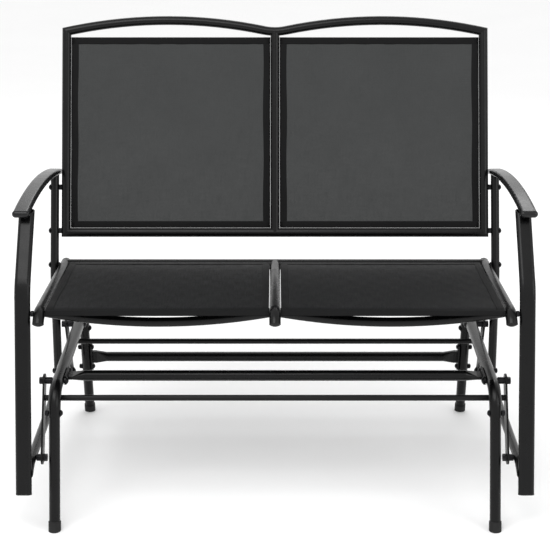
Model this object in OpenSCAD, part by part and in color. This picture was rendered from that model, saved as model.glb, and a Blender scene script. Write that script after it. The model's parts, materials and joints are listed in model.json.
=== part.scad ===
// Two-seat sling glider bench: a floor-standing base with four swinging links that carry
// a seat, a sling back and two armrests.
// X runs across the bench, +Y towards the back, +Z up. Left is the -X side, seen from the front.
// Depths (Y) are measured from the front feet, and the whole bench is then centred on the origin.

/* [Base frame] */
// Distance from the middle plane to the centre line of a base side frame
base_half_width = 440; // [420:1:560]
// Distance between the front and rear feet
base_depth = 607; // [560:1:800]
// Height of the top rail's centre line
rail_height = 270; // [250:1:340]
// Angle of the base legs from the vertical
leg_splay = 13.9; // [5:0.1:18]
// Outer diameter of the top rail tube
rail_d = 25; // [24:0.5:32]
// Wall of the top rail tube
rail_wall = 1.4; // [1:0.1:2]
// Centre-line radius of the top rail's two bends
rail_bend = 45; // [35:1:70]
// Outer diameter of the lower leg tube, which slides into the top rail tube
leg_d = 22; // [18:0.1:22.1]
// Wall of the lower leg tube
leg_wall = 1.4; // [1:0.1:2]
// Straight end of the top rail tube below each bend
sleeve_len = 16; // [14:1:40]
// Diameter of the rubber foot caps
foot_d = 25; // [24.5:0.5:36]
// Thickness of rubber under the tube end
foot_floor = 4; // [2:0.5:8]
// Outer diameter of the two crossbars
crossbar_d = 22; // [16:0.5:28]
// Height of the rear crossbar's centre line
rear_bar_height = 150; // [110:1:190]
// Spacing of the two bolts in a crossbar's end plate
plate_bolt_gap = 54; // [48:1:70]

/* [Swinging links] */
// Distance between a link's pivots
link_len = 154; // [130:1:170]
// Angle of the links from the vertical at rest
link_tilt = 25.4; // [10:0.1:32]
// Width of the link plate
link_w = 28; // [26:1:36]
// Thickness of the link plate
link_t = 4; // [3:0.5:6]
// Depth of the front upper pivot
front_pivot_y = 125; // [115:1:160]
// Depth of the rear upper pivot
rear_pivot_y = 462; // [430:1:480]
// Gap that a spacer fills between the top rail and a link
link_gap = 13.5; // [8:0.5:20]
// Diameter of the tie rods between the left and right links
tie_rod_d = 12; // [8:0.5:14]
// Distance of the front tie rod from the front upper pivot
front_rod_drop = 35; // [30:1:60]
// Distance of the rear tie rod from the rear upper pivot
rear_rod_drop = 56; // [30:1:80]
// Diameter of the pivot bolts
pivot_d = 8; // [6:1:10]

/* [Side frame of the seat] */
// Gap from the outer face of each link to the rear post and lower rail outside it
post_gap = 9.5; // [9:0.1:14]
// Outer diameter of the lower rail and rear post
post_d = 19; // [16:0.5:25]
// Depth of the upright part of the rear post
post_y = 453; // [430:1:470]
// Width of the flat-oval front leg
arm_leg_w = 32; // [28:1:40]
// Depth of the flat-oval front leg
arm_leg_t = 16; // [14:1:20]
// How far the front leg stands outward from the inner face of the lower rail
arm_leg_inset = 3; // [2:0.1:6]
// Lowest point of the front leg above the floor
arm_leg_clear = 77.5; // [60:0.5:100]
// Backward lean of the lower part of the front leg
arm_leg_lean = 12; // [6:0.5:16]
// Backward lean of the front leg under the armrest
arm_leg_top_lean = 35.5; // [25:0.5:42]
// Height of the highest point of the armrest
armrest_height = 633; // [600:1:700]
// Width of the armrest
armrest_w = 34; // [28:1:50]
// Thickness of the armrest
armrest_t = 13; // [10:0.5:18]

/* [Seat] */
// Height of the seat's centre line at its rear rail
seat_rear_height = 408.5; // [390:0.5:440]
// Depth of the seat's rear rail
seat_rear_y = 466.5; // [455:0.5:475]
// Depth at which the seat rails start to curve down
seat_curve_y = 95; // [85:1:110]
// Slope of the seat, higher at the front
seat_slope = 3.4; // [0:0.1:8]
// Outer diameter of the seat rails
seat_rail_d = 23; // [19:0.5:26]
// Gap between a side seat rail and the rear post outside it
seat_gap = 2; // [1:0.1:4]
// Drop of each curved front stretcher below its ends
stretcher_drop = 22; // [10:1:40]
// Outer diameter of the curved front stretchers
stretcher_d = 19; // [16:0.5:22]

/* [Backrest] */
// Height of the backrest's bottom rail
back_height = 478; // [465:1:500]
// Backward lean of the backrest
back_lean = 16.7; // [8:0.1:24]
// Length of the backrest from its bottom rail to its top corners
back_len = 448; // [380:1:520]
// Rise of the two top arches above the corners
arch_rise = 24.5; // [10:0.5:50]
// Outer diameter of the backrest tubes
back_d = 20; // [16:0.5:22]
// Gap between a side backrest tube and the rear post outside it
back_gap = 5.5; // [4:0.1:8]

/* [Tubes and fabric] */
// Wall of the thinner tubes
tube_wall = 1.3; // [0.9:0.1:1.6]
// Wall of the flat-oval front legs, whose weight helps to balance the seat on its links
arm_leg_wall = 2.8; // [1:0.1:3.4]
// Wall of the curved front stretchers
stretcher_wall = 2.5; // [1:0.1:3]
// Wall of the backrest tubes
back_wall = 1; // [0.8:0.1:1.6]
// Thickness of the fabric solids
sling_t = 1.5; // [1:0.1:3]

/* [Hidden] */
$fn = 48;

// Fits and small standard sizes
lap = 0.3;               // length by which the parts of one bent tube run into each other
slimmer = 0.26;          // reduction in diameter that keeps their surfaces apart
seam = 0.05;             // gap between a welded end and the tube it meets
running = 0.08;          // radial clearance of a pivot bolt in its bush
bolt_gap = 0.1;          // radial clearance of a fixed bolt in its hole
side_play = 0.3;         // gap beside each moving bush
open_pivot_gap = 3.6;    // radial clearance of the rear lower pivot bolt in the rear link
bush_wall = 2;
bush_stand = 0.5;        // how far a bush stands proud of each face of its link
washer_t = 1;
washer_r = pivot_d;
head_h = 4.5;
small_d = 6;             // diameter of the bolts that hold the frame together
small_head_r = 6.5;
small_head_h = 4.5;
spacer_wall = 3;
plate_t = 4;
plate_h = 18;
tongue_w = 32;
tongue_t = 6;
cap_t = 3;

// Plan positions
rail_out = base_half_width + rail_d / 2;
rail_in = base_half_width - rail_d / 2;
leg_in = base_half_width - leg_d / 2;
leg_out = base_half_width + leg_d / 2;
link_in = rail_out + link_gap;
link_out = link_in + link_t;
post_in = link_out + post_gap;
post_half_width = post_in + post_d / 2;
post_out = post_half_width + post_d / 2;
arm_leg_in = post_in + arm_leg_inset;
arm_leg_half_width = arm_leg_in + arm_leg_w / 2;
seat_half_width = post_in - seat_gap - seat_rail_d / 2;
seat_rail_in = seat_half_width - seat_rail_d / 2;
seat_rail_out = seat_half_width + seat_rail_d / 2;
back_half_width = post_in - back_gap - back_d / 2;
back_out = back_half_width + back_d / 2;

// Side-view positions, as [depth, height]
corner_in = rail_height * tan(leg_splay);
bend_run = rail_bend * tan((90 - leg_splay) / 2);
leg_bolt_s = bend_run + 8;
sleeve_s = bend_run + sleeve_len;
front_corner = [corner_in, rail_height];
rear_corner = [base_depth - corner_in, rail_height];
front_pivot = [front_pivot_y, rail_height];
rear_pivot = [rear_pivot_y, rail_height];
front_low = front_pivot + link_len * [-sin(link_tilt), -cos(link_tilt)];
rear_low = rear_pivot + link_len * [sin(link_tilt), -cos(link_tilt)];
lower_rail_z = front_low[1];
plate_mid_y = front_pivot_y + plate_bolt_gap / 2;
rear_bar = [base_depth - rear_bar_height * tan(leg_splay), rear_bar_height];

// Backrest line, which the upper part of the rear post follows
back_y = 481;
back_slope = tan(back_lean);
post_corner_z = back_height + (post_y - back_y) / back_slope;
post_bend = 110;
post_bend_run = post_bend * tan(back_lean / 2);
back_bolt_z = [482, 574.5];

// Seat rail path
seat_bend = 40;
seat_turn = 58;
seat_front_z = seat_rear_height + (seat_rear_y - seat_curve_y) * tan(seat_slope);
seat_bolt_y = 81;
rear_seat_bolt_z = seat_rear_height + 1;
rear_seat_bolt = [back_y + (rear_seat_bolt_z - back_height) * back_slope, rear_seat_bolt_z];
seat_tail = 12;
stretcher_y = seat_curve_y + 11;
stretcher_sink = 5.5;
stretcher_reach = 2;
sling_gap = 0.3;
seat_sling_rise = 7;
sling_wrap = 38;
back_sling_top = 435;

// Armrest arc, in the plane of the side frame
armrest_r = 1100;
armrest_crest_y = 315;
armrest_front_y = 150;
armrest_rear_y = 538;
armrest_toe = 2.1;
armrest_gap = 0.4;
armrest_half_width = back_out + armrest_gap + armrest_w / 2
    + (armrest_rear_y - armrest_crest_y) * sin(armrest_toe);
lip_r = 7.5;
lip_step = 0.1;

// The two top arches: equal arcs that meet in a small upturned arc over the middle tube
dip_r = 120;
arch_run = (back_half_width * back_half_width - 2 * dip_r * arch_rise) / (2 * back_half_width);
arch_r = (arch_run * arch_run + arch_rise * arch_rise) / (2 * arch_rise);
arch_start = acos(1 - arch_rise / arch_r);
arch_end = acos(1 - arch_rise / (arch_r + dip_r));
mitre_spare = 14;

// Limits of the whole bench, which put its origin in the middle of its footprint
foot_reach = foot_d / 2 / cos(leg_splay);
crest = back_len + arch_rise;
front_limit = -foot_reach;
rear_limit = max(back_y + crest * sin(back_lean) + back_d / 2, base_depth + foot_reach);
depth_mid = (front_limit + rear_limit) / 2;

steel = [0.10, 0.10, 0.11];
plastic = [0.06, 0.06, 0.06];
fabric = [0.17, 0.18, 0.18];

// ---- helpers ----

// Puts a shape that is drawn from the front feet into the bench's own frame
module placed(shade) {
    color(shade) translate([0, -depth_mid, 0]) children();
}

module mirrored(side) {
    if (side > 0) children();
    else mirror([1, 0, 0]) children();
}

module both_sides() {
    children();
    mirror([1, 0, 0]) children();
}

// Stands a drawing of [depth, height] upright in the plane at x, extruding along +X
module side_view(x, at = [0, 0]) {
    translate([x, at[0], at[1]]) rotate([90, 0, 90]) children();
}

// A cylinder along X from x0 to x1 at a side-view point
module cross_rod(x0, x1, at, r) {
    side_view(x0, at) cylinder(r = r, h = x1 - x0);
}

module cross_tube(x0, x1, at, r, bore) {
    difference() {
        cross_rod(x0, x1, at, r);
        cross_rod(x0 - 1, x1 + 1, at, bore);
    }
}

module disc(d) {
    circle(d = d, $fn = 48);
}

module ring(d, wall) {
    difference() {
        disc(d);
        disc(d - 2 * wall);
    }
}

// Flat oval, long across the frame
module flat_oval(w, t) {
    square([t, w - t], center = true);
    for (s = [-1, 1]) translate([0, s * (w - t) / 2]) disc(t);
}

// Facets in a full turn of a preview arc, so that long arcs stay close to the true curve
function arc_steps(radius) = radius > 200 ? 480 : 96;

// Sweeps a profile along runs and bends: each step is [run, bend radius, turn angle, slim bend].
// Runs and slim bends take the second profile, a hair slimmer, and lap into their neighbours.
module sweep(steps, i = 0) {
    if (i < len(steps)) {
        run = steps[i][0];
        radius = steps[i][1];
        turn = steps[i][2];
        slim = steps[i][3] == true;
        way = turn < 0 ? -1 : 1;
        before = i > 0 ? lap : 0;
        after = turn != 0 ? lap : 0;
        extra = slim ? lap / radius * 180 / PI : 0;
        if (run > 0) translate([-before, 0, 0]) rotate([90, 0, 90])
            linear_extrude(run + before + after) children(1);
        if (turn != 0) {
            translate([run, way * radius, 0])
                rotate([0, 0, (way > 0 ? -90 : 90 + turn) - extra])
                    rotate_extrude(angle = abs(turn) + 2 * extra, $fn = arc_steps(radius))
                        translate([radius, 0]) children(slim ? 1 : 0);
        }
        translate([run, way * radius, 0]) rotate([0, 0, turn]) translate([0, -way * radius, 0])
            sweep(steps, i + 1) {
                children(0);
                children(1);
            }
    }
}

// Tube of a given outer diameter and wall along a path
module sweep_tube(steps, d, wall) {
    sweep(steps) {
        ring(d, wall);
        ring(d - slimmer, wall - slimmer);
    }
}

module dome(r, h) {
    ball = (r * r + h * h) / (2 * h);
    intersection() {
        translate([0, 0, h - ball]) sphere(r = ball);
        cylinder(r = r, h = h);
    }
}

// Round-headed bolt along X: the head sits outside x_head, the shank ends at x_tip
module bolt(x_head, x_tip, at, d, head_r, head_h) {
    way = x_tip > x_head ? 1 : -1;
    side_view(x_head, at) mirror([0, 0, way > 0 ? 1 : 0]) dome(head_r, head_h);
    cross_rod(min(x_head, x_tip), max(x_head, x_tip), at, d / 2);
}

// Plain washer and hexagonal nut from x0 outwards, on a shank of diameter d
module nut_and_washer(x0, way, at, d) {
    side_view(x0, at) mirror([0, 0, way > 0 ? 0 : 1]) difference() {
        union() {
            cylinder(r = d, h = washer_t);
            cylinder(d = d * 1.85, h = washer_t + d * 0.8, $fn = 6);
        }
        translate([0, 0, -1]) cylinder(d = d + bolt_gap, h = washer_t + d + 2);
    }
}

function nut_stack(d) = washer_t + d * 0.8;

function leg_point(foot_y, way, z) = [foot_y + way * z * tan(leg_splay), z];

// ---- base ----

// Inverted U: two short sleeves joined by the top rail
module top_rail(side) {
    turn = -(90 - leg_splay);
    top_run = rear_corner[0] - front_corner[0] - 2 * bend_run;
    start = front_corner - sleeve_s * [sin(leg_splay), cos(leg_splay)];
    placed(steel) mirrored(side) difference() {
        side_view(base_half_width, start) rotate([0, 0, 90 - leg_splay])
            sweep_tube([[sleeve_len, rail_bend, turn], [top_run, rail_bend, turn],
                        [sleeve_len, 0, 0]], rail_d, rail_wall);
        for (p = [front_pivot, rear_pivot])
            cross_rod(rail_in - 1, rail_out + 1, p, pivot_d / 2 + bolt_gap);
        cross_rod(rail_in - 1, rail_out + 1, front_pivot + [plate_bolt_gap, 0], small_d / 2 + bolt_gap);
        for (p = leg_bolts()) cross_rod(rail_in - 1, rail_out + 1, p, small_d / 2 + bolt_gap);
    }
}

function along_leg(corner, way, s) = corner + s * [way * sin(leg_splay), -cos(leg_splay)];
function leg_bolts() = [along_leg(front_corner, -1, leg_bolt_s), along_leg(rear_corner, 1, leg_bolt_s)];
function rear_plate_bolts() = [for (s = [-1, 1])
    rear_bar + s * plate_bolt_gap / 2 * [-sin(leg_splay), cos(leg_splay)]];

// Solid of revolution along a base leg, from a distance s0 to s1 below the corner
module on_leg(corner, way, s0, s1, r) {
    side_view(base_half_width, corner) rotate([0, 0, -90 + way * leg_splay])
        translate([s0, 0, 0]) rotate([0, 90, 0]) cylinder(r = r, h = s1 - s0);
}

leg_end_s = (rail_height + foot_d) / cos(leg_splay);

module lower_leg(side, corner, way) {
    top_s = bend_run + 0.5;
    placed(steel) mirrored(side) difference() {
        on_leg(corner, way, top_s, leg_end_s, leg_d / 2);
        on_leg(corner, way, top_s - 1, leg_end_s + 1, leg_d / 2 - leg_wall);
        translate([base_half_width, base_depth / 2, foot_floor - 50])
            cube([100, 2 * base_depth, 100], center = true);
        for (p = leg_bolts()) cross_rod(rail_in - 1, rail_out + 1, p, small_d / 2 + bolt_gap);
        for (p = rear_plate_bolts()) cross_rod(rail_in - 1, rail_out + 1, p, small_d / 2 + bolt_gap);
    }
}

module foot_cap(corner, way) {
    cap_s = (rail_height - 18) / cos(leg_splay);
    base_s = rail_height / cos(leg_splay);
    difference() {
        on_leg(corner, way, cap_s, leg_end_s, foot_d / 2);
        intersection() {
            on_leg(corner, way, cap_s - 1, leg_end_s + 1, leg_d / 2 + seam);
            translate([base_half_width, base_depth / 2, foot_floor + 50])
                cube([100, 2 * base_depth, 100], center = true);
        }
        translate([base_half_width, base_depth / 2, -50])
            cube([100, 2 * base_depth, 100], center = true);
    }
}

module foot_caps() {
    placed(plastic) both_sides() {
        foot_cap(front_corner, -1);
        foot_cap(rear_corner, 1);
    }
}

// End plate with two bolt holes; the long side lies along the direction given
module end_plate(x, at, angle, hole_d) {
    side_view(x, at) rotate([0, 0, angle]) linear_extrude(plate_t) difference() {
        union() {
            square([plate_bolt_gap, plate_h], center = true);
            for (s = [-1, 1]) translate([s * plate_bolt_gap / 2, 0]) circle(d = plate_h);
        }
        for (s = [-1, 1]) translate([s * plate_bolt_gap / 2, 0])
            circle(d = (s < 0 ? hole_d : small_d) + 2 * bolt_gap);
    }
}

// Crossbar end squeezed to a flat tongue that meets the plate
module flat_end(x0, x1, at, angle) {
    neck = 24;
    hull() {
        cross_rod(x0 - lap, x0 + 1, at, crossbar_d / 2 - slimmer, $fn = 24);
        side_view(x0 + neck, at) rotate([0, 0, angle]) linear_extrude(1)
            square([tongue_w - 2 * slimmer, tongue_t - 2 * slimmer], center = true);
    }
    side_view(x0 + neck + lap, at) rotate([0, 0, angle]) linear_extrude(x1 - x0 - neck)
        square([tongue_w, tongue_t], center = true);
}

module crossbar(at, angle, plate_x, hole_d) {
    tongue_x = plate_x - plate_t - 34;
    placed(steel) {
        cross_tube(-tongue_x, tongue_x, at, crossbar_d / 2, crossbar_d / 2 - tube_wall);
        both_sides() {
            flat_end(tongue_x, plate_x - plate_t, at, angle);
            end_plate(plate_x - plate_t, at, angle, hole_d);
        }
    }
}

module base_bolts() {
    placed(steel) both_sides() {
        bolt(rail_in - plate_t, rail_out + nut_stack(small_d) + 1, front_pivot + [plate_bolt_gap, 0],
             small_d, small_head_r, small_head_h);
        for (p = rear_plate_bolts())
            bolt(leg_in - plate_t, leg_out + nut_stack(small_d) + 1, p, small_d, small_head_r, small_head_h);
        for (p = leg_bolts())
            bolt(rail_in, rail_out + nut_stack(small_d) + 1, p, small_d, small_head_r, small_head_h);
    }
}

module base_nuts() {
    placed(steel) both_sides() {
        nut_and_washer(rail_out, 1, front_pivot + [plate_bolt_gap, 0], small_d);
        for (p = rear_plate_bolts()) nut_and_washer(leg_out, 1, p, small_d);
        for (p = leg_bolts()) nut_and_washer(rail_out, 1, p, small_d);
    }
}

// ---- pivots ----

bush_in = link_in - bush_stand;
bush_out = link_out + bush_stand;

module upper_pivot_bolts() {
    tip = bush_out + side_play + nut_stack(pivot_d) + 0.2;
    placed(steel) both_sides() {
        bolt(rail_in - plate_t, tip, front_pivot, pivot_d, pivot_d, head_h);
        bolt(rail_in, tip, rear_pivot, pivot_d, pivot_d, head_h);
    }
}

module upper_pivot_nuts() {
    placed(steel) both_sides() for (p = [front_pivot, rear_pivot])
        nut_and_washer(bush_out + side_play, 1, p, pivot_d);
}

module upper_pivot_spacers() {
    placed(steel) both_sides() for (p = [front_pivot, rear_pivot])
        cross_tube(rail_out, bush_in - side_play, p, pivot_d / 2 + spacer_wall, pivot_d / 2 + bolt_gap);
}

// Outer ends are on the lower rails; the front bolts have their nuts inside, the rear ones outside
module lower_pivot_bolts() {
    inner = bush_in - side_play;
    placed(steel) both_sides() {
        bolt(post_out, inner - nut_stack(pivot_d) - 0.5, front_low, pivot_d, pivot_d, head_h);
        bolt(inner - washer_t, post_out + nut_stack(pivot_d) + 4, rear_low, pivot_d, pivot_d, head_h);
        cross_tube(inner - washer_t, inner, rear_low, washer_r + 1.5, pivot_d / 2 - 0.5);
    }
}

module lower_pivot_nuts() {
    placed(steel) both_sides() {
        nut_and_washer(bush_in - side_play, -1, front_low, pivot_d);
        nut_and_washer(post_out, 1, rear_low, pivot_d);
    }
}

module lower_pivot_spacers() {
    r = pivot_d / 2 + spacer_wall;
    placed(steel) both_sides() {
        cross_tube(bush_out + side_play, post_in, front_low, r, pivot_d / 2 + bolt_gap);
        cross_tube(bush_out + side_play, post_in, rear_low, washer_r + 1.5, pivot_d / 2 + bolt_gap);
    }
}

// ---- links ----

bush_r = pivot_d / 2 + running + bush_wall;

// Flat plate with round ends between two side-view points
module link(side, top, low, low_hole_r) {
    reach = low - top;
    tilt = atan2(reach[1], reach[0]);
    placed(steel) mirrored(side) side_view(link_in, top) rotate([0, 0, tilt]) linear_extrude(link_t)
        difference() {
            union() {
                translate([0, -link_w / 2]) square([link_len, link_w]);
                for (s = [0, link_len]) translate([s, 0]) circle(d = link_w);
            }
            circle(r = bush_r);
            translate([link_len, 0]) circle(r = low_hole_r);
        }
}

module bush(at) {
    cross_tube(bush_in, bush_out, at, bush_r - seam, pivot_d / 2 + running);
}

module tie_rod(top, low, drop) {
    at = top + (low - top) * drop / link_len;
    placed(steel) cross_rod(-link_in, link_in, at, tie_rod_d / 2);
}

module front_link_bushes() {
    placed(plastic) both_sides() for (p = [front_pivot, front_low]) bush(p);
}

module rear_link_bushes() {
    placed(plastic) both_sides() bush(rear_pivot);
}

// ---- side frames of the seat ----

arm_leg_foot = [1.4, arm_leg_clear + cap_t];
arm_leg_bend = 100;
arm_leg_bend_z = 457;
arm_leg_run = (arm_leg_bend_z - arm_leg_foot[1]) / cos(arm_leg_lean);
arm_leg_top_run = 160;
arm_leg_top_y = 176;
post_top_y = back_y + (armrest_height - 2 * armrest_t - back_height) * back_slope;

// Everything above a plane just under the armrest, near a given depth
module above_armrest_underside(y) {
    side_view(0, [armrest_crest_y, armrest_height - armrest_r])
        rotate([0, 0, asin((armrest_crest_y - y) / armrest_r)])
            translate([-150, armrest_r - armrest_t - 4 * seam, 0]) cube([300, 300, 2 * post_half_width]);
}

module oval_ring(w, t, wall) {
    difference() {
        flat_oval(w, t);
        flat_oval(w - 2 * wall, t - 2 * wall);
    }
}

module arm_leg(side) {
    placed(steel) mirrored(side) difference() {
        side_view(arm_leg_half_width, arm_leg_foot) rotate([0, 0, 90 - arm_leg_lean])
            sweep([[arm_leg_run, arm_leg_bend, arm_leg_lean - arm_leg_top_lean],
                   [arm_leg_top_run, 0, 0]]) {
                oval_ring(arm_leg_w, arm_leg_t, arm_leg_wall);
                oval_ring(arm_leg_w - slimmer, arm_leg_t - slimmer, arm_leg_wall - slimmer);
            }
        above_armrest_underside(arm_leg_top_y);
        cross_rod(arm_leg_in - 1, arm_leg_half_width, seat_front_bolt(), insert_r + bolt_gap);
    }
}

module arm_leg_plugs() {
    placed(plastic) both_sides() side_view(arm_leg_half_width, arm_leg_foot)
        rotate([0, 0, 90 - arm_leg_lean]) rotate([90, 0, 90]) {
            translate([0, 0, -cap_t]) linear_extrude(cap_t) flat_oval(arm_leg_w, arm_leg_t);
            linear_extrude(10) flat_oval(arm_leg_w - 2 * arm_leg_wall - 2 * seam,
                                         arm_leg_t - 2 * arm_leg_wall - 2 * seam);
        }
}

lower_rail_tail = 17;

// Runs forward from behind the rear pivot and dips into the back of the front leg
module lower_rail(side) {
    start = [rear_low[0] + lower_rail_tail, lower_rail_z];
    straight = start[0] - 45;
    placed(steel) mirrored(side) difference() {
        side_view(post_half_width, start) rotate([0, 0, 180])
            sweep_tube([[straight, 45, 25], [40, 0, 0]], post_d, tube_wall);
        side_view(arm_leg_half_width, arm_leg_foot) rotate([0, 0, 90 - arm_leg_lean]) {
            rotate([90, 0, 90]) linear_extrude(arm_leg_run) flat_oval(arm_leg_w + seam, arm_leg_t + seam);
            translate([0, 0, -arm_leg_w]) cube([arm_leg_run, 60, 2 * arm_leg_w]);
        }
        for (p = [front_low, rear_low]) cross_rod(post_in - 1, post_out + 1, p, pivot_d / 2 + bolt_gap);
    }
}

module lower_rail_plugs() {
    placed(plastic) both_sides() side_view(post_half_width, [rear_low[0] + lower_rail_tail, lower_rail_z])
        rotate([90, 0, 90]) {
            translate([0, 0, 0]) cylinder(d = post_d, h = cap_t);
            translate([0, 0, -8]) cylinder(d = post_d - 2 * tube_wall - 2 * seam, h = 8);
        }
}

module rear_post(side) {
    run = post_corner_z - post_bend_run - lower_rail_z;
    placed(steel) mirrored(side) difference() {
        side_view(post_half_width, [post_y, lower_rail_z]) rotate([0, 0, 90])
            sweep_tube([[run, post_bend, -back_lean], [300, 0, 0]], post_d, tube_wall);
        above_armrest_underside(post_top_y);
        translate([post_half_width, post_y - 100, lower_rail_z]) rotate([-90, 0, 0])
            cylinder(d = post_d + 2 * seam, h = 200);
        for (p = back_bolts()) cross_rod(post_in - 1, post_out + 1, p, small_d / 2 + bolt_gap);
        cross_rod(post_in - 1, post_out + 1, rear_seat_bolt, small_d / 2 + bolt_gap);
    }
}

function back_bolts() = [for (z = back_bolt_z) [back_y + (z - back_height) * back_slope, z]];

// Flat oval bent to a long arc, with a thicker rolled lip at the front
module armrest(side) {
    rear_angle = asin((armrest_rear_y - armrest_crest_y) / armrest_r);
    front_angle = asin((armrest_crest_y - armrest_front_y) / armrest_r);
    mid_r = armrest_r - armrest_t / 2;
    placed(plastic) mirrored(side)
        translate([armrest_half_width, armrest_crest_y, 0]) rotate([0, 0, armrest_toe])
            translate([0, -armrest_crest_y, 0])
                side_view(0, [armrest_crest_y, armrest_height - armrest_r]) {
                    rotate([0, 0, 90 - rear_angle]) rotate_extrude(angle = rear_angle + front_angle, $fn = 400)
                        translate([mid_r, 0]) flat_oval(armrest_w, armrest_t);
                    rotate([0, 0, 90 + front_angle]) translate([mid_r - 0.5, 0, 0]) {
                        cylinder(r = lip_r - lip_step, h = armrest_w - armrest_t, center = true);
                        for (s = [-1, 1]) translate([0, 0, s * (armrest_w - armrest_t) / 2]) sphere(r = lip_r);
                    }
                }
}

// ---- seat ----

seat_bend_mid = [seat_curve_y, seat_front_z] - seat_bend * [sin(seat_slope), cos(seat_slope)];

// Point on the seat rail's centre line, at a depth inside its front bend
function seat_bend_point(y) =
    [y, seat_bend_mid[1] + sqrt(seat_bend * seat_bend - pow(y - seat_bend_mid[0], 2))];
function seat_front_bolt() = seat_bend_point(seat_bolt_y);

module seat_rail(x, tail) {
    start = [seat_rear_y, seat_rear_height] + tail * [cos(seat_slope), -sin(seat_slope)];
    run = (seat_rear_y - seat_curve_y) / cos(seat_slope) + tail;
    side_view(x, start) rotate([0, 0, 180 - seat_slope])
        sweep_tube([[run, seat_bend, seat_turn]], seat_rail_d, tube_wall);
}

// Cylinder that a crosswise tube is notched with, along the straight part of a seat rail
module rail_notch(x, at) {
    translate([x, at[0], at[1]]) rotate([90 - seat_slope, 0, 0])
        cylinder(d = seat_rail_d + 2 * seam, h = 120, center = true);
}

module seat_side_rail(side) {
    placed(steel) mirrored(side) difference() {
        seat_rail(seat_half_width, seat_tail);
        cross_rod(seat_half_width, seat_rail_out + 1, rear_seat_bolt, insert_r + bolt_gap);
        cross_rod(seat_rail_in - 1, seat_rail_out + 1, seat_front_bolt(), small_d / 2 + bolt_gap);
    }
}

module seat_middle_rail() {
    placed(steel) difference() {
        seat_rail(0, 0);
        cross_rod(-seat_rail_d, seat_rail_d, [seat_rear_y, seat_rear_height], seat_rail_d / 2 + seam);
    }
}

module seat_rear_rail() {
    placed(steel) difference() {
        cross_tube(-seat_half_width, seat_half_width, [seat_rear_y, seat_rear_height],
                   seat_rail_d / 2, seat_rail_d / 2 - tube_wall);
        both_sides()
            rail_notch(seat_half_width, [seat_rear_y, seat_rear_height]);
    }
}

// Tube that sags in an arc between the middle rail and a side rail
module stretcher(side) {
    half = seat_half_width / 2;
    rail_z = seat_rear_height + (seat_rear_y - stretcher_y) * tan(seat_slope);
    radius = (half * half + stretcher_drop * stretcher_drop) / (2 * stretcher_drop);
    spread = asin((half - stretcher_reach) / radius);
    placed(steel) mirrored(side) difference() {
        translate([half, stretcher_y, rail_z - stretcher_sink - stretcher_drop + radius]) rotate([90, 0, 0])
            rotate([0, 0, -90 - spread]) rotate_extrude(angle = 2 * spread, $fn = arc_steps(radius))
                translate([radius, 0]) ring(stretcher_d, stretcher_wall);
        for (x = [0, seat_half_width])
            rail_notch(x, [stretcher_y, rail_z]);
    }
}

module seat_rail_caps() {
    placed(plastic) {
        for (x = [-seat_half_width, 0, seat_half_width])
            translate([x, seat_bend_mid[0], seat_bend_mid[1]]) rotate([90, 0, 90])
                rotate([0, 0, 90 - seat_slope + seat_turn]) translate([seat_bend, 0, 0]) rotate([-90, 0, 0]) {
                    dome(seat_rail_d / 2, cap_t + 1);
                    translate([0, 0, -5]) cylinder(d = seat_rail_d - 2 * tube_wall - 2.5, h = 5);
                }
        both_sides() side_view(seat_half_width, [seat_rear_y, seat_rear_height]) rotate([0, 0, -seat_slope])
            translate([seat_tail, 0, 0]) rotate([0, 90, 0]) {
                cylinder(d = seat_rail_d, h = cap_t);
                translate([0, 0, -8]) cylinder(d = seat_rail_d - 2 * tube_wall - 2 * seam, h = 8);
            }
    }
}

// ---- backrest ----

// Backrest plane: X across, Y up the back, Z out of its front face
module on_back() {
    translate([0, back_y, back_height]) rotate([90 - back_lean, 0, 0]) children();
}

// Removes everything to the left of a line through a point of the backrest plane
module cut_left_of(at, angle) {
    translate(at) rotate([0, 0, angle]) translate([-40, 0, -40]) cube([80, 60, 80]);
}

module back_side_tube(side) {
    placed(steel) mirrored(side) difference() {
        on_back() difference() {
            translate([back_half_width, -mitre_spare, 0]) rotate([-90, 0, 0])
                difference() {
                    cylinder(d = back_d, h = back_len + 2 * mitre_spare);
                    translate([0, 0, -1]) cylinder(d = back_d - 2 * back_wall, h = back_len + 4 * mitre_spare);
                }
            cut_left_of([back_half_width, back_len - seam, 0], (90 - arch_start) / 2);
            cut_left_of([back_half_width, seam, 0], 135);
        }
        for (p = back_bolts()) cross_rod(back_half_width, back_out + 1, p, insert_r + bolt_gap);
    }
}

module back_bottom_rail() {
    placed(steel) on_back() difference() {
        translate([-back_half_width - mitre_spare, 0, 0]) rotate([0, 90, 0]) difference() {
            cylinder(d = back_d, h = 2 * (back_half_width + mitre_spare));
            translate([0, 0, -1])
                cylinder(d = back_d - 2 * back_wall, h = 2 * (back_half_width + 2 * mitre_spare));
        }
        both_sides() cut_left_of([back_half_width, 0, 0], -45);
    }
}

module back_top_rail() {
    from = arch_start + mitre_spare / arch_r * 180 / PI;
    turn = from + arch_end;
    start = arch_r * [sin(arch_start) - sin(from), cos(from) - cos(arch_start)];
    placed(steel) on_back() difference() {
        translate([-back_half_width + start[0], back_len + start[1], 0]) rotate([0, 0, from])
            sweep_tube([[0, arch_r, -turn], [0, dip_r, 2 * arch_end, true], [0, arch_r, -turn]],
                       back_d, back_wall);
        both_sides() cut_left_of([back_half_width, back_len, 0], (90 - arch_start) / 2 - 180);
    }
}

module back_middle_tube() {
    placed(steel) on_back() difference() {
        rotate([-90, 0, 0]) difference() {
            cylinder(d = back_d, h = back_len);
            translate([0, 0, -1]) cylinder(d = back_d - 2 * back_wall, h = back_len + 2);
        }
        translate([-back_d, 0, 0]) rotate([0, 90, 0]) cylinder(d = back_d + 2 * seam, h = 2 * back_d);
        translate([0, back_len + dip_r, 0]) rotate([0, 0, -90 - arch_end])
            rotate_extrude(angle = 2 * arch_end) translate([dip_r, 0]) disc(back_d + 2 * seam);
    }
}

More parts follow.
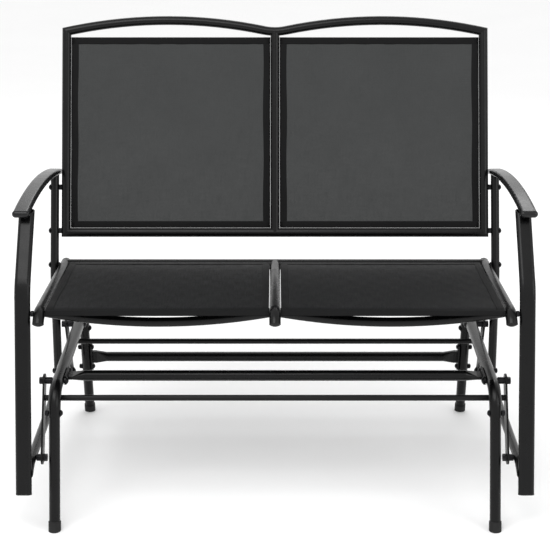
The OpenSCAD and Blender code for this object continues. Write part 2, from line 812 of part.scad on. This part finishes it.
// ---- fasteners of the seat and back ----

insert_r = 4.6;
insert_len = 9;

module frame_bolts() {
    placed(steel) both_sides() {
        for (p = back_bolts())
            bolt(post_out, back_out - insert_len, p, small_d, small_head_r, small_head_h);
        bolt(post_out, seat_rail_out - insert_len, rear_seat_bolt, small_d, small_head_r, small_head_h);
        bolt(seat_rail_in, arm_leg_in + insert_len, seat_front_bolt(), small_d, small_head_r, small_head_h);
    }
}

module frame_spacers() {
    r = small_d / 2 + spacer_wall;
    bore = small_d / 2 + bolt_gap;
    placed(steel) both_sides() {
        for (p = back_bolts()) cross_tube(back_out, post_in, p, r, bore);
        cross_tube(seat_rail_out, post_in, rear_seat_bolt, r, bore);
        cross_tube(seat_rail_out, arm_leg_in, seat_front_bolt(), r, bore);
    }
}

module threaded_inserts() {
    bore = small_d / 2 + bolt_gap / 2;
    placed(steel) both_sides() {
        for (p = back_bolts()) cross_tube(back_out - insert_len, back_out, p, insert_r, bore);
        cross_tube(seat_rail_out - insert_len, seat_rail_out, rear_seat_bolt, insert_r, bore);
        cross_tube(arm_leg_in, arm_leg_in + insert_len, seat_front_bolt(), insert_r, bore);
    }
}

// ---- slings ----

// Flat panel that follows the top of the seat rails and wraps the first part of their bend
module seat_sling(side) {
    x0 = seat_rail_d / 2 + sling_gap;
    width = seat_rail_in - sling_gap - x0;
    start = [seat_rear_y - seat_rail_d / 2 - 3, seat_rear_height];
    run = (start[0] - seat_curve_y) / cos(seat_slope);
    placed(fabric) mirrored(side)
        side_view(x0 + width / 2, [seat_rear_y, seat_rear_height]) rotate([0, 0, 180 - seat_slope])
            translate([seat_rear_y - start[0], 0, 0])
                translate([0, -seat_sling_rise, 0])
                    sweep([[run, seat_bend + seat_sling_rise, sling_wrap]]) {
                        square([sling_t, width], center = true);
                        square([sling_t - slimmer, width - slimmer], center = true);
                    }
}

module back_sling(side) {
    x0 = back_d / 2 + sling_gap;
    bottom = back_d / 2 + sling_gap;
    placed(fabric) mirrored(side) on_back()
        translate([x0, bottom, -sling_t / 2])
            cube([back_half_width - back_d / 2 - sling_gap - x0, back_sling_top - bottom, sling_t]);
}

// ---- nodes ----

module left_top_rail() top_rail(-1);
module right_top_rail() top_rail(1);
module front_left_leg() lower_leg(-1, front_corner, -1);
module front_right_leg() lower_leg(1, front_corner, -1);
module rear_left_leg() lower_leg(-1, rear_corner, 1);
module rear_right_leg() lower_leg(1, rear_corner, 1);
module front_crossbar() crossbar([plate_mid_y, rail_height], 0, rail_in, pivot_d);
module rear_crossbar() crossbar(rear_bar, 90 + leg_splay, leg_in, small_d);
module front_left_link() link(-1, front_pivot, front_low, bush_r);
module front_right_link() link(1, front_pivot, front_low, bush_r);
module rear_left_link() link(-1, rear_pivot, rear_low, pivot_d / 2 + open_pivot_gap);
module rear_right_link() link(1, rear_pivot, rear_low, pivot_d / 2 + open_pivot_gap);
module front_tie_rod() tie_rod(front_pivot, front_low, front_rod_drop);
module rear_tie_rod() tie_rod(rear_pivot, rear_low, rear_rod_drop);
module left_arm_leg() arm_leg(-1);
module right_arm_leg() arm_leg(1);
module left_lower_rail() lower_rail(-1);
module right_lower_rail() lower_rail(1);
module left_rear_post() rear_post(-1);
module right_rear_post() rear_post(1);
module left_armrest() armrest(-1);
module right_armrest() armrest(1);
module seat_left_rail() seat_side_rail(-1);
module seat_right_rail() seat_side_rail(1);
module seat_left_stretcher() stretcher(-1);
module seat_right_stretcher() stretcher(1);
module back_left_tube() back_side_tube(-1);
module back_right_tube() back_side_tube(1);
module left_seat_sling() seat_sling(-1);
module right_seat_sling() seat_sling(1);
module left_back_sling() back_sling(-1);
module right_back_sling() back_sling(1);

left_top_rail();
right_top_rail();
front_left_leg();
front_right_leg();
rear_left_leg();
rear_right_leg();
foot_caps();
front_crossbar();
rear_crossbar();
base_bolts();
base_nuts();
upper_pivot_bolts();
upper_pivot_nuts();
upper_pivot_spacers();
front_left_link();
front_right_link();
front_tie_rod();
front_link_bushes();
rear_left_link();
rear_right_link();
rear_tie_rod();
rear_link_bushes();
left_arm_leg();
right_arm_leg();
arm_leg_plugs();
left_lower_rail();
right_lower_rail();
left_rear_post();
right_rear_post();
left_armrest();
right_armrest();
lower_rail_plugs();
lower_pivot_bolts();
lower_pivot_nuts();
lower_pivot_spacers();
seat_left_rail();
seat_right_rail();
seat_middle_rail();
seat_rear_rail();
seat_left_stretcher();
seat_right_stretcher();
seat_rail_caps();
back_left_tube();
back_right_tube();
back_middle_tube();
back_top_rail();
back_bottom_rail();
frame_bolts();
frame_spacers();
threaded_inserts();
left_seat_sling();
right_seat_sling();
left_back_sling();
right_back_sling();
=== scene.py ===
"""Looks of a two-seat sling glider bench: fabric panels, hems, materials, studio and camera."""

import math

import bpy
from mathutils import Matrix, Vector
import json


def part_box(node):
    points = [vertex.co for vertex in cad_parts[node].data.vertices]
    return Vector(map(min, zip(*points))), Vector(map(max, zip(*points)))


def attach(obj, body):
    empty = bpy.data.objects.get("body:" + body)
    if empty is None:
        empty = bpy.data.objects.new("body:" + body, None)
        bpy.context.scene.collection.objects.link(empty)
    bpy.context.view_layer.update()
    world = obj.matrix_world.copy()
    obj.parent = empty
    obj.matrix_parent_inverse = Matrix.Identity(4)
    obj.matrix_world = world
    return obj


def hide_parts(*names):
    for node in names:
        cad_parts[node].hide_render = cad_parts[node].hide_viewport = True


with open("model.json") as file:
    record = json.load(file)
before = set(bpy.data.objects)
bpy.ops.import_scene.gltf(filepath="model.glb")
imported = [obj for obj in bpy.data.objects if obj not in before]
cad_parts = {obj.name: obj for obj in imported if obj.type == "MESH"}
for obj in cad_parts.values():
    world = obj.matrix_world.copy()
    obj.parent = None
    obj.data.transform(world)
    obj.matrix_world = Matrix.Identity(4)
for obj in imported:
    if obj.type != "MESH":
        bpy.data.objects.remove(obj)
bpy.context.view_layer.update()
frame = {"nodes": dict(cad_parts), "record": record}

# Sizes in metres. The panel sizes repeat the ones of the flat CAD panels that they replace.
PANEL_T = 0.0015
SEAT_SLOPE = math.radians(3.4)
SEAT_BEND = 0.047
SEAT_WRAP = math.radians(38)
HEM_W = 0.015
HEM_T = 0.0018
HEM_SWAY = 0.0014
HEM_SIDES = 16
HEM_STEP = 0.012
HEM_END_GAP = 0.0006
STITCH_ROWS = 3.0
STITCH_PITCH = 0.0032
YARN_PITCH = 0.0013
SEAT_SAG = 0.004
BACK_SAG = 0.005
CLOTH_STEP = 0.008
SWING = "swing"


# ---------------------------------------------------------------- materials


class Shader:
    """A small wrapper that makes nodes by type and links them by socket name."""

    def __init__(self, name):
        self.material = bpy.data.materials.new(name)
        self.material.use_nodes = True
        self.tree = self.material.node_tree
        self.bsdf = self.tree.nodes["Principled BSDF"]

    def node(self, kind, **values):
        made = self.tree.nodes.new(kind)
        for key, value in values.items():
            if hasattr(made, key):
                setattr(made, key, value)
            else:
                made.inputs[key.replace("_", " ")].default_value = value
        return made

    def link(self, out, into):
        self.tree.links.new(out, into)

    def place(self, scale=(1, 1, 1), uv=False):
        """Coordinates in metres, stretched by scale."""
        where = self.node("ShaderNodeTexCoord")
        mapping = self.node("ShaderNodeMapping")
        mapping.inputs["Scale"].default_value = scale
        self.link(where.outputs["UV" if uv else "Object"], mapping.inputs["Vector"])
        return mapping.outputs["Vector"]

    def noise(self, vector, scale, detail=3.0, rough=0.5):
        made = self.node("ShaderNodeTexNoise")
        made.inputs["Scale"].default_value = scale
        made.inputs["Detail"].default_value = detail
        made.inputs["Roughness"].default_value = rough
        self.link(vector, made.inputs["Vector"])
        return made.outputs["Fac"]

    def remap(self, value, low, high, to_low, to_high):
        made = self.node("ShaderNodeMapRange")
        for key, number in zip(("From Min", "From Max", "To Min", "To Max"), (low, high, to_low, to_high)):
            made.inputs[key].default_value = number
        self.link(value, made.inputs["Value"])
        return made.outputs["Result"]

    def math(self, kind, a, b=None):
        made = self.node("ShaderNodeMath")
        made.operation = kind
        for slot, value in enumerate((a, b)):
            if value is None:
                continue
            if isinstance(value, (int, float)):
                made.inputs[slot].default_value = value
            else:
                self.link(value, made.inputs[slot])
        return made.outputs["Value"]

    def ramp(self, value, dark, light, low=0.0, high=1.0):
        made = self.node("ShaderNodeValToRGB")
        made.color_ramp.elements[0].position = low
        made.color_ramp.elements[1].position = high
        made.color_ramp.elements[0].color = (*dark, 1)
        made.color_ramp.elements[1].color = (*light, 1)
        self.link(value, made.inputs["Fac"])
        self.link(made.outputs["Color"], self.bsdf.inputs["Base Color"])

    def bump(self, height, distance, strength=1.0):
        made = self.node("ShaderNodeBump")
        made.inputs["Distance"].default_value = distance
        made.inputs["Strength"].default_value = strength
        self.link(height, made.inputs["Height"])
        self.link(made.outputs["Normal"], self.bsdf.inputs["Normal"])

    def fixed(self, **values):
        for key, value in values.items():
            self.bsdf.inputs[key.replace("_", " ")].default_value = value


def coated_steel(name, dark, light, rough_low, rough_high, coat, metallic=0.0):
    """Baked powder coat: a faint pebbled skin with patches that are a little duller."""
    s = Shader(name)
    at = s.place()
    s.ramp(s.noise(at, 14, 5, 0.6), dark, light, 0.3, 0.75)
    s.link(s.remap(s.noise(at, 38, 4, 0.6), 0.3, 0.7, rough_low, rough_high), s.bsdf.inputs["Roughness"])
    skin = s.math("MULTIPLY_ADD", s.noise(at, 1500, 2), 0.6)
    s.link(s.noise(at, 420, 2), skin.node.inputs[2])
    s.bump(skin, 0.00009, 0.55)
    s.fixed(Coat_Weight=coat, Coat_Roughness=0.16, Metallic=metallic, Specular_IOR_Level=0.2)
    return s.material


def moulded(name, dark, light, rough_low, rough_high, grain, depth, coat=0.0):
    """Moulded plastic or rubber with a fine cast grain."""
    s = Shader(name)
    at = s.place()
    s.ramp(s.noise(at, 22, 4, 0.55), dark, light, 0.3, 0.7)
    s.link(s.remap(s.noise(at, 60, 3), 0.3, 0.7, rough_low, rough_high), s.bsdf.inputs["Roughness"])
    s.bump(s.noise(at, grain, 3, 0.6), depth, 0.6)
    s.fixed(Coat_Weight=coat, Coat_Roughness=0.22, Specular_IOR_Level=0.25)
    return s.material


def woven(name, dark, light, open_share, sheen):
    """Coated mesh cloth: a plain weave with thick and thin yarns, and open points between the yarns."""
    s = Shader(name)
    across = s.noise(s.place((22, 560, 1), uv=True), 1.0, 4, 0.6)
    along = s.noise(s.place((560, 22, 1), uv=True), 1.0, 4, 0.6)
    cloudy = s.noise(s.place((1, 1, 1), uv=True), 9, 3, 0.5)
    slub = s.math("ADD", s.math("MULTIPLY", across, 0.5), s.math("MULTIPLY", along, 0.5))
    tone = s.math("ADD", s.math("MULTIPLY", slub, 0.85), s.math("MULTIPLY", cloudy, 0.15))
    s.ramp(tone, dark, light, 0.36, 0.66)
    turns = 2 * math.pi / YARN_PITCH
    split = s.node("ShaderNodeSeparateXYZ")
    s.link(s.place((turns, turns, 1), uv=True), split.inputs["Vector"])
    waves = [
        s.math("ABSOLUTE", s.math("SINE", s.math("MULTIPLY", split.outputs[k], 0.5)))
        for k in ("X", "Y")
    ]
    thread = s.math("MULTIPLY", waves[0], waves[1])
    gap = s.remap(thread, 0.0, 1.0, 1.0, 0.0)
    thin = s.remap(slub, 0.36, 0.64, 1.6, 0.2)
    s.link(
        s.remap(s.math("MULTIPLY", s.math("POWER", gap, 3.0), thin), 0.0, 1.0, 1.0, 1.0 - open_share),
        s.bsdf.inputs["Alpha"],
    )
    s.link(s.remap(slub, 0.3, 0.7, 0.72, 0.5), s.bsdf.inputs["Roughness"])
    relief = s.math("ADD", s.math("MULTIPLY", thread, 0.6), s.math("MULTIPLY", slub, 0.7))
    s.bump(relief, 0.00035, 0.7)
    s.fixed(Sheen_Weight=sheen, Sheen_Roughness=0.35, Specular_IOR_Level=0.13)
    s.material.surface_render_method = "DITHERED"
    return s.material


def hem_cloth(name, dark, light):
    """The same cloth folded double, with rows of stitches along the strip."""
    s = Shader(name)
    at = s.place((1, 1, 1), uv=True)
    split = s.node("ShaderNodeSeparateXYZ")
    s.link(at, split.inputs["Vector"])
    yarn = s.noise(s.place((40, 700, 1), uv=True), 1.0, 4, 0.6)
    s.ramp(yarn, dark, light, 0.35, 0.68)
    dash = s.math("SINE", s.math("MULTIPLY", split.outputs["X"], 2 * math.pi / STITCH_PITCH))
    band = s.math("FRACT", s.math("MULTIPLY", split.outputs["Y"], STITCH_ROWS))
    row = s.math("ABSOLUTE", s.math("SUBTRACT", band, 0.5))
    stitch = s.math("MULTIPLY", s.remap(row, 0.0, 0.09, 1.0, 0.0), s.remap(dash, -0.2, 0.3, 0.0, 1.0))
    s.bump(s.math("ADD", s.math("MULTIPLY", yarn, 0.5), stitch), 0.0004, 0.7)
    s.link(s.remap(yarn, 0.3, 0.7, 0.6, 0.78), s.bsdf.inputs["Roughness"])
    s.fixed(Sheen_Weight=0.02, Sheen_Roughness=0.4, Specular_IOR_Level=0.15)
    return s.material


BLACK = (0.0012, 0.0012, 0.0013)
SOFT_BLACK = (0.003, 0.003, 0.0032)
FRAME = coated_steel("powder_coat", BLACK, SOFT_BLACK, 0.24, 0.34, 0.05)
LINKS = coated_steel("powder_coat_links", BLACK, (0.0035, 0.0035, 0.0038), 0.28, 0.4, 0.04)
FASTENER = coated_steel("black_fasteners", (0.008, 0.008, 0.009), (0.02, 0.02, 0.022), 0.26, 0.4, 0.05, 0.7)
ARMREST = moulded(
    "armrest_plastic", (0.0035, 0.0035, 0.0038), (0.007, 0.007, 0.0075), 0.2, 0.3, 900, 0.00006, 0.08
)
CAP = moulded("cap_plastic", (0.004, 0.004, 0.004), (0.008, 0.008, 0.008), 0.42, 0.56, 1100, 0.0001)
BUSH = moulded("bush_plastic", (0.02, 0.02, 0.02), (0.035, 0.035, 0.035), 0.38, 0.5, 800, 0.00006)
RUBBER = moulded("foot_rubber", (0.008, 0.008, 0.008), (0.02, 0.02, 0.02), 0.62, 0.8, 700, 0.00016)
BACK_CLOTH = woven("back_mesh_cloth", (0.017, 0.0183, 0.0183), (0.036, 0.038, 0.038), 0.07, 0.02)
SEAT_CLOTH = woven("seat_mesh_cloth", (0.0016, 0.0018, 0.002), (0.005, 0.0053, 0.0058), 0.0, 0.02)
HEM = hem_cloth("hem_cloth", (0.0014, 0.0014, 0.0016), (0.004, 0.004, 0.0043))

SLOT_LOOKS = {
    "frame_steel": FRAME,
    "link_steel": LINKS,
    "fasteners": FASTENER,
    "armrest_plastic": ARMREST,
    "cap_plastic": CAP,
    "bush_plastic": BUSH,
    "foot_rubber": RUBBER,
    "seat_fabric": SEAT_CLOTH,
    "back_fabric": BACK_CLOTH,
}
for entry in frame["record"]["subparts"]:
    node = frame["nodes"][entry["node"]]
    node.data.materials.clear()
    node.data.materials.append(SLOT_LOOKS[entry["material_slot"]])


# ---------------------------------------------------------------- fabric


def mesh_piece(name, points, faces, uvs, material):
    """A smooth mesh object that rides on the swinging seat."""
    mesh = bpy.data.meshes.new(name)
    mesh.from_pydata([tuple(p) for p in points], [], faces)
    layer = mesh.uv_layers.new(name="cloth")
    for loop in mesh.loops:
        layer.data[loop.index].uv = uvs[loop.vertex_index]
    mesh.polygons.foreach_set("use_smooth", [True] * len(mesh.polygons))
    mesh.materials.append(material)
    mesh.update()
    piece = bpy.data.objects.new(name, mesh)
    bpy.context.scene.collection.objects.link(piece)
    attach(piece, SWING)
    return piece


def grid_faces(columns, rows):
    return [
        (j * columns + i, j * columns + i + 1, (j + 1) * columns + i + 1, (j + 1) * columns + i)
        for j in range(rows - 1)
        for i in range(columns - 1)
    ]


def ribbon(name, path, side, normal, width, thick, material):
    """A closed strip with softened long edges, whose section follows side and normal along path."""
    section = []
    for turn in range(HEM_SIDES):
        a = 2 * math.pi * turn / HEM_SIDES
        c, s = math.cos(a), math.sin(a)
        across = math.copysign(abs(c) ** 0.35, c) * width / 2
        section.append((across, math.copysign(abs(s) ** 0.8, s) * thick / 2))
    points, uvs, faces = [], [], []
    run = 0.0
    n = len(section)
    for k, centre in enumerate(path):
        if k:
            run += (path[k] - path[k - 1]).length
        for across, up in section:
            points.append(centre + side[k] * across + normal[k] * up)
            uvs.append((run, across / width + 0.5))
    for k in range(len(path) - 1):
        for j in range(n):
            a, b = k * n + j, k * n + (j + 1) % n
            faces.append((a, b, b + n, a + n))
    faces.append(tuple(range(n))[::-1])
    faces.append(tuple((len(path) - 1) * n + j for j in range(n)))
    return mesh_piece(name, points, faces, uvs, material)


class Panel:
    """A stretched panel of cloth, which follows a side profile and sags between its edges."""

    def __init__(self, name, node, profile, sag, slot, material):
        low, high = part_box(node)
        self.name, self.node, self.slot, self.material = name, node, slot, material
        self.x0, self.x1 = low[0], high[0]
        self.width = self.x1 - self.x0
        self.profile, self.length = profile, profile[-1][0]
        self.sag = sag

    def at(self, distance):
        """Point of the side profile, and its unit tangent, at a distance from the start."""
        last = self.profile[0]
        for item in self.profile[1:]:
            if distance <= item[0] + 1e-9:
                share = (distance - last[0]) / (item[0] - last[0])
                here = last[1].lerp(item[1], share)
                tangent = last[2].lerp(item[2], share).normalized()
                return here, tangent
            last = item
        return self.profile[-1][1], self.profile[-1][2]

    def point(self, x, distance):
        """Point of the sagging cloth, with its normal and tangent, at x across and a distance along."""
        here, tangent = self.at(distance)
        normal = Vector((0, -tangent.z, tangent.y))
        if normal.z < 0 or (abs(tangent.z) > 0.8 and normal.y > 0):
            normal = -normal
        u, v = (x - self.x0) / self.width, distance / self.length
        bow = 16 * u * (1 - u) * v * (1 - v)
        ripple = 0.0003 * math.sin(61 * u + 3) * math.sin(37 * v + 1)
        return Vector((x, here.y, here.z)) - normal * (self.sag * bow + ripple), normal, tangent

    def build(self):
        columns = int(self.width / CLOTH_STEP) + 2
        rows = int(self.length / CLOTH_STEP) + 2
        points, uvs = [], []
        for j in range(rows):
            distance = self.length * j / (rows - 1)
            for i in range(columns):
                x = self.x0 + self.width * i / (columns - 1)
                points.append(self.point(x, distance)[0])
                uvs.append((x, distance))
        cloth = mesh_piece(
            self.name, points, grid_faces(columns, rows), uvs, self.material
        )
        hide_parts(self.node)
        return cloth

    def hems(self):
        """Folded strips along the four edges, a little wavy as sewn edges are."""
        made = []
        inset = HEM_W / 2
        for tag, x in (("inner", self.x0 + inset), ("outer", self.x1 - inset)):
            steps = int(self.length / HEM_STEP) + 2
            path, side, up = [], [], []
            for k in range(steps):
                distance = self.length * k / (steps - 1)
                sway = 0.0007 * (1 + math.sin(31 * distance + x * 9)) * (1 if tag == "inner" else -1)
                middle, normal, _ = self.point(x + max(-HEM_SWAY, min(HEM_SWAY, sway)), distance)
                path.append(middle)
                side.append(Vector((1, 0, 0)))
                up.append(normal)
            made.append(ribbon(f"{self.name}_{tag}_hem", path, side, up, HEM_W, HEM_T, HEM))
        for tag, distance in (("start", inset), ("end", self.length - inset)):
            steps = int(self.width / HEM_STEP) + 2
            path, side, up = [], [], []
            for k in range(steps):
                x = self.x0 + HEM_END_GAP + (self.width - 2 * HEM_END_GAP) * k / (steps - 1)
                wave = 0.0006 * math.sin(k * 0.7) + 0.0004 * math.sin(k * 1.9) if tag == "end" else 0.0
                middle, normal, tangent = self.point(x, distance - abs(wave))
                path.append(middle)
                side.append(tangent)
                up.append(normal)
            made.append(ribbon(f"{self.name}_{tag}_hem", path, side, up, HEM_W, HEM_T * 1.15, HEM))
        return made


def back_profile(node):
    """The flat panel's centre line from its box: the lean follows from its height and depth."""
    low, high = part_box(node)
    lean = math.atan2(high[1] - low[1], high[2] - low[2])
    for _ in range(4):
        depth = high[1] - low[1] - PANEL_T * math.cos(lean)
        height = high[2] - low[2] - PANEL_T * math.sin(lean)
        lean = math.atan2(depth, height)
    start = Vector((0, low[1] + PANEL_T / 2 * math.cos(lean), low[2] + PANEL_T / 2 * math.sin(lean)))
    tangent = Vector((0, math.sin(lean), math.cos(lean)))
    length = math.hypot(depth, height)
    return [(0.0, start, tangent), (length, start + tangent * length, tangent)]


def seat_profile(node):
    """From the rear edge forward, then round the front bend of the seat rails."""
    low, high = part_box(node)
    outer = SEAT_BEND + PANEL_T / 2
    reach = SEAT_WRAP - SEAT_SLOPE
    centre = Vector((0, low[1] + outer * math.sin(reach), high[2] - outer))
    bend_start = centre + SEAT_BEND * Vector((0, math.sin(SEAT_SLOPE), math.cos(SEAT_SLOPE)))
    forward = Vector((0, -math.cos(SEAT_SLOPE), math.sin(SEAT_SLOPE)))
    run = (high[1] - PANEL_T / 2 * math.sin(SEAT_SLOPE) - bend_start.y) / math.cos(SEAT_SLOPE)
    profile = [(0.0, bend_start - forward * run, forward), (run, bend_start, forward)]
    steps = 16
    for k in range(1, steps + 1):
        a = SEAT_SLOPE - SEAT_WRAP * k / steps
        where = centre + SEAT_BEND * Vector((0, math.sin(a), math.cos(a)))
        tangent = Vector((0, -math.cos(a), math.sin(a)))
        profile.append((run + SEAT_BEND * SEAT_WRAP * k / steps, where, tangent))
    return profile


PARTS = (
    ("back", back_profile, BACK_SAG, BACK_CLOTH),
    ("seat", seat_profile, SEAT_SAG, SEAT_CLOTH),
)
PANELS = [
    Panel(
        f"{side}_{part}_cloth",
        f"{side}_{part}_sling",
        profile(f"{side}_{part}_sling"),
        sag,
        f"{part}_fabric",
        cloth,
    )
    for part, profile, sag, cloth in PARTS
    for side in ("left", "right")
]
for panel in PANELS:
    cloth = panel.build()
    hems = panel.hems()


# ---------------------------------------------------------------- studio

FAR = 14.0
FLOOR_DROP = 0.0004
CAMERA_BACK = 2.774
CAMERA_HEIGHT = 1.442
CAMERA_PITCH = 15
FOOT_OVERHANG = 0.0129

floor_mesh = bpy.data.meshes.new("studio_floor")
floor_mesh.from_pydata([(-FAR, -FAR, 0), (FAR, -FAR, 0), (FAR, FAR, 0), (-FAR, FAR, 0)], [], [(0, 1, 2, 3)])
floor = bpy.data.objects.new("studio_floor", floor_mesh)
bpy.context.scene.collection.objects.link(floor)
pale = Shader("studio_floor")
pale.ramp(pale.noise(pale.place(), 2.0, 2), (0.93, 0.93, 0.93), (0.96, 0.96, 0.96))
pale.fixed(Roughness=0.9, Specular_IOR_Level=0.1)
floor_mesh.materials.append(pale.material)
floor.location.z = -FLOOR_DROP

world = bpy.data.worlds.new("studio")
bpy.context.scene.world = world
world.use_nodes = True
world.node_tree.nodes["Background"].inputs["Color"].default_value = (1, 1, 1, 1)
world.node_tree.nodes["Background"].inputs["Strength"].default_value = 1.0
bpy.context.scene.view_settings.view_transform = "Standard"


def area_light(name, at, aim, size, power):
    data = bpy.data.lights.new(name, "AREA")
    data.shape = "RECTANGLE"
    data.size, data.size_y = size
    data.energy = power
    lamp = bpy.data.objects.new(name, data)
    lamp.location = at
    lamp.rotation_euler = (Vector(aim) - Vector(at)).to_track_quat("-Z", "Y").to_euler()
    bpy.context.scene.collection.objects.link(lamp)


area_light("key", (-0.8, -1.6, 3.0), (0, 0, 0.4), (2.4, 1.6), 45)
area_light("fill", (2.4, -1.8, 1.7), (0, 0, 0.4), (1.6, 1.6), 16)
area_light("rim", (0.3, 2.6, 2.4), (0, 0, 0.6), (2.6, 1.2), 22)

camera_data = bpy.data.cameras.new("camera")
camera_data.lens = 100
camera_data.sensor_width = 36
camera_data.shift_y = -0.15
camera = bpy.data.objects.new("camera", camera_data)
FRONT_FEET_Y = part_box("foot_caps")[0][1] + FOOT_OVERHANG
camera.location = (0.0, FRONT_FEET_Y - CAMERA_BACK, CAMERA_HEIGHT)
camera.rotation_euler = (math.radians(90 - CAMERA_PITCH), 0, 0)
bpy.context.scene.collection.objects.link(camera)
bpy.context.scene.camera = camera
